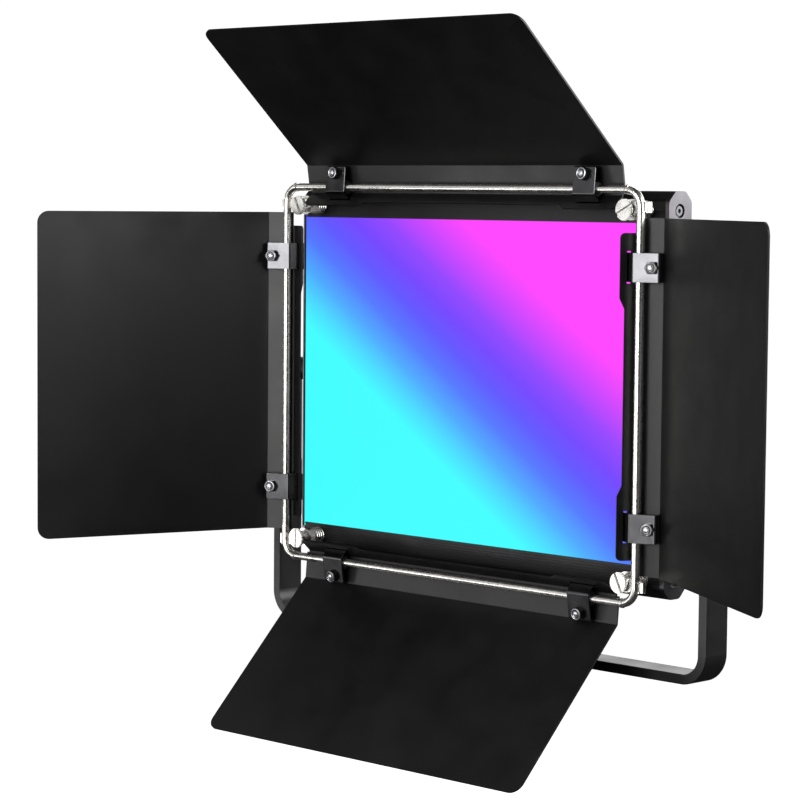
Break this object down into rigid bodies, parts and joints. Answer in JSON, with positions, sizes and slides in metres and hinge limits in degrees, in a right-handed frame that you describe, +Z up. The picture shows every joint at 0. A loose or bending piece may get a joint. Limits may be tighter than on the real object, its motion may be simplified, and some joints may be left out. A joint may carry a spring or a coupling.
{
  "type": "led panel light",
  "caption": "Flat rectangular LED panel light in a U-shaped tilting yoke, with black barn door leaves clamped on a bright wire frame, and a stand socket underneath.",
  "frame": {"origin": "centre of the stand socket's mouth, under the middle of the yoke", "axes": "+X along the panel's width, to the right when facing the lit window; +Y from the window to the back; +Z up, along the stand socket"},
  "size_m": [0.5113, 0.2267, 0.4388],
  "materials": {
    "leaf_black": "matte black powder coat on aluminium sheet",
    "body_black": "satin black anodised extrusion",
    "cap_grey": "satin dark grey powder coat",
    "yoke_black": "satin black powder coat on flat bar",
    "clamp_black": "black zinc on pressed steel",
    "bolt_black": "black oxide",
    "nickel": "bright nickel plate",
    "screw_steel": "plain steel",
    "bush_plastic": "dark acetal",
    "window_lit": "lit opal sheet",
    "white_plastic": "white moulded plastic",
    "board_white": "white solder mask",
    "board_green": "green solder mask",
    "chip_yellow": "phosphor over diodes",
    "bare_aluminium": "mill finish",
    "case_black": "fine textured black plastic",
    "panel_dark": "smooth dark overlay",
    "display_glass": "glossy display window",
    "key_grey": "grey rubberised keys",
    "knob_black": "black moulded knob",
    "contact_gold": "gold plated contact"
  },
  "bodies": {
    "stand": {"yoke": "yoke_black", "stand_socket": "yoke_black", "socket_bolt": "screw_steel"},
    "socket_lock": {"socket_lock_knob": "knob_black"},
    "leaf_left": {"leaf_left": "leaf_black", "clamps_left": "clamp_black", "clamp_bolts_left": "bolt_black", "clamp_bushes_left": "bush_plastic"},
    "leaf_right": {"leaf_right": "leaf_black", "clamps_right": "clamp_black", "clamp_bolts_right": "bolt_black", "clamp_bushes_right": "bush_plastic"},
    "leaf_top": {"leaf_top": "leaf_black", "clamps_top": "clamp_black", "clamp_bolts_top": "bolt_black", "clamp_bushes_top": "bush_plastic"},
    "leaf_bottom": {"leaf_bottom": "leaf_black", "clamps_bottom": "clamp_black", "clamp_bolts_bottom": "bolt_black", "clamp_bushes_bottom": "bush_plastic"},
    "thumb_screw_top_left": {"thumb_screw_top_left": "nickel"},
    "thumb_screw_top_right": {"thumb_screw_top_right": "nickel"},
    "thumb_screw_bottom_left": {"thumb_screw_bottom_left": "nickel"},
    "thumb_screw_bottom_right": {"thumb_screw_bottom_right": "nickel"},
    "tilt_knob_left": {"tilt_knob_left": "knob_black"},
    "tilt_knob_right": {"tilt_knob_right": "knob_black"},
    "brightness_dial": {"brightness_dial": "knob_black"},
    "colour_dial": {"colour_dial": "knob_black"},
    "mode_button": {"mode_button": "key_grey"},
    "channel_button": {"channel_button": "key_grey"},
    "effect_button": {"effect_button": "key_grey"},
    "power_rocker": {"power_rocker": "panel_dark"},
    "battery_release_left": {"battery_release_left": "key_grey"},
    "battery_release_right": {"battery_release_right": "key_grey"},
    "head": {"top_rail": "body_black", "bottom_rail": "body_black", "side_cap_left": "cap_grey", "side_cap_right": "cap_grey", "side_cap_screws": "screw_steel", "diffuser": "window_lit", "light_frame": "white_plastic", "led_board": "board_white", "led_chips": "chip_yellow", "heat_plate": "bare_aluminium", "rear_cover": "body_black", "rear_screws": "bolt_black", "control_pod": "case_black", "control_panel": "panel_dark", "display_window": "display_glass", "control_board": "board_green", "dial_encoders": "screw_steel", "rocker_bezel": "case_black", "dc_socket": "case_black", "battery_plate_left": "case_black", "battery_plate_right": "case_black", "battery_contacts": "contact_gold", "barndoor_frame": "nickel", "frame_standoffs": "nickel", "pivot_hubs": "yoke_black", "friction_washers": "bush_plastic"}
  },
  "joints": [
    {"name": "head_tilt", "type": "hinge", "parent": "stand", "child": "head", "pos_m": [0, 0, 0.211], "axis": [-1, 0, 0], "range_deg": [-8, 90]},
    {"name": "leaf_left_hinge", "type": "hinge", "parent": "head", "child": "leaf_left", "pos_m": [-0.1491, -0.0319, 0.211], "axis": [0, 0, -1], "range_deg": [-83, 72]},
    {"name": "leaf_right_hinge", "type": "hinge", "parent": "head", "child": "leaf_right", "pos_m": [0.1491, -0.0319, 0.211], "axis": [0, 0, 1], "range_deg": [-124, 31]},
    {"name": "leaf_top_hinge", "type": "hinge", "parent": "head", "child": "leaf_top", "pos_m": [0, -0.0319, 0.331], "axis": [1, 0, 0], "range_deg": [-92.9, 112.1]},
    {"name": "leaf_bottom_hinge", "type": "hinge", "parent": "head", "child": "leaf_bottom", "pos_m": [0, -0.0319, 0.091], "axis": [-1, 0, 0], "range_deg": [-12.2, 115.8]},
    {"name": "thumb_screw_top_left_turn", "type": "hinge", "parent": "head", "child": "thumb_screw_top_left", "pos_m": [-0.1376, -0.0319, 0.3193], "axis": [0, -1, 0], "continuous": true},
    {"name": "thumb_screw_bottom_left_turn", "type": "hinge", "parent": "head", "child": "thumb_screw_bottom_left", "pos_m": [-0.1376, -0.0319, 0.1027], "axis": [0, -1, 0], "continuous": true},
    {"name": "thumb_screw_top_right_turn", "type": "hinge", "parent": "head", "child": "thumb_screw_top_right", "pos_m": [0.1376, -0.0319, 0.3193], "axis": [0, -1, 0], "continuous": true},
    {"name": "thumb_screw_bottom_right_turn", "type": "hinge", "parent": "head", "child": "thumb_screw_bottom_right", "pos_m": [0.1376, -0.0319, 0.1027], "axis": [0, -1, 0], "continuous": true},
    {"name": "tilt_knob_left_turn", "type": "hinge", "parent": "head", "child": "tilt_knob_left", "pos_m": [-0.185, 0, 0.211], "axis": [-1, 0, 0], "continuous": true},
    {"name": "tilt_knob_right_turn", "type": "hinge", "parent": "head", "child": "tilt_knob_right", "pos_m": [0.185, 0, 0.211], "axis": [1, 0, 0], "continuous": true},
    {"name": "socket_lock_turn", "type": "hinge", "parent": "stand", "child": "socket_lock", "pos_m": [0, 0.022, 0.02], "axis": [0, 1, 0], "continuous": true},
    {"name": "brightness_dial_turn", "type": "hinge", "parent": "head", "child": "brightness_dial", "pos_m": [-0.026, 0.026, 0.199], "axis": [0, 1, 0], "continuous": true},
    {"name": "colour_dial_turn", "type": "hinge", "parent": "head", "child": "colour_dial", "pos_m": [0.026, 0.026, 0.199], "axis": [0, 1, 0], "continuous": true},
    {"name": "mode_button_press", "type": "slide", "parent": "head", "child": "mode_button", "axis": [0, -1, 0], "range_m": [0, 0.0012], "stiffness_N_per_m": 400},
    {"name": "channel_button_press", "type": "slide", "parent": "head", "child": "channel_button", "axis": [0, -1, 0], "range_m": [0, 0.0012], "stiffness_N_per_m": 400},
    {"name": "effect_button_press", "type": "slide", "parent": "head", "child": "effect_button", "axis": [0, -1, 0], "range_m": [0, 0.0012], "stiffness_N_per_m": 400},
    {"name": "power_rocker_tilt", "type": "hinge", "parent": "head", "child": "power_rocker", "pos_m": [0, 0.0236, 0.169], "axis": [-1, 0, 0], "range_deg": [0, 8]},
    {"name": "battery_release_left_slide", "type": "slide", "parent": "head", "child": "battery_release_left", "axis": [0, 0, -1], "range_m": [0, 0.003], "stiffness_N_per_m": 300},
    {"name": "battery_release_right_slide", "type": "slide", "parent": "head", "child": "battery_release_right", "axis": [0, 0, -1], "range_m": [0, 0.003], "stiffness_N_per_m": 300}
  ]
}
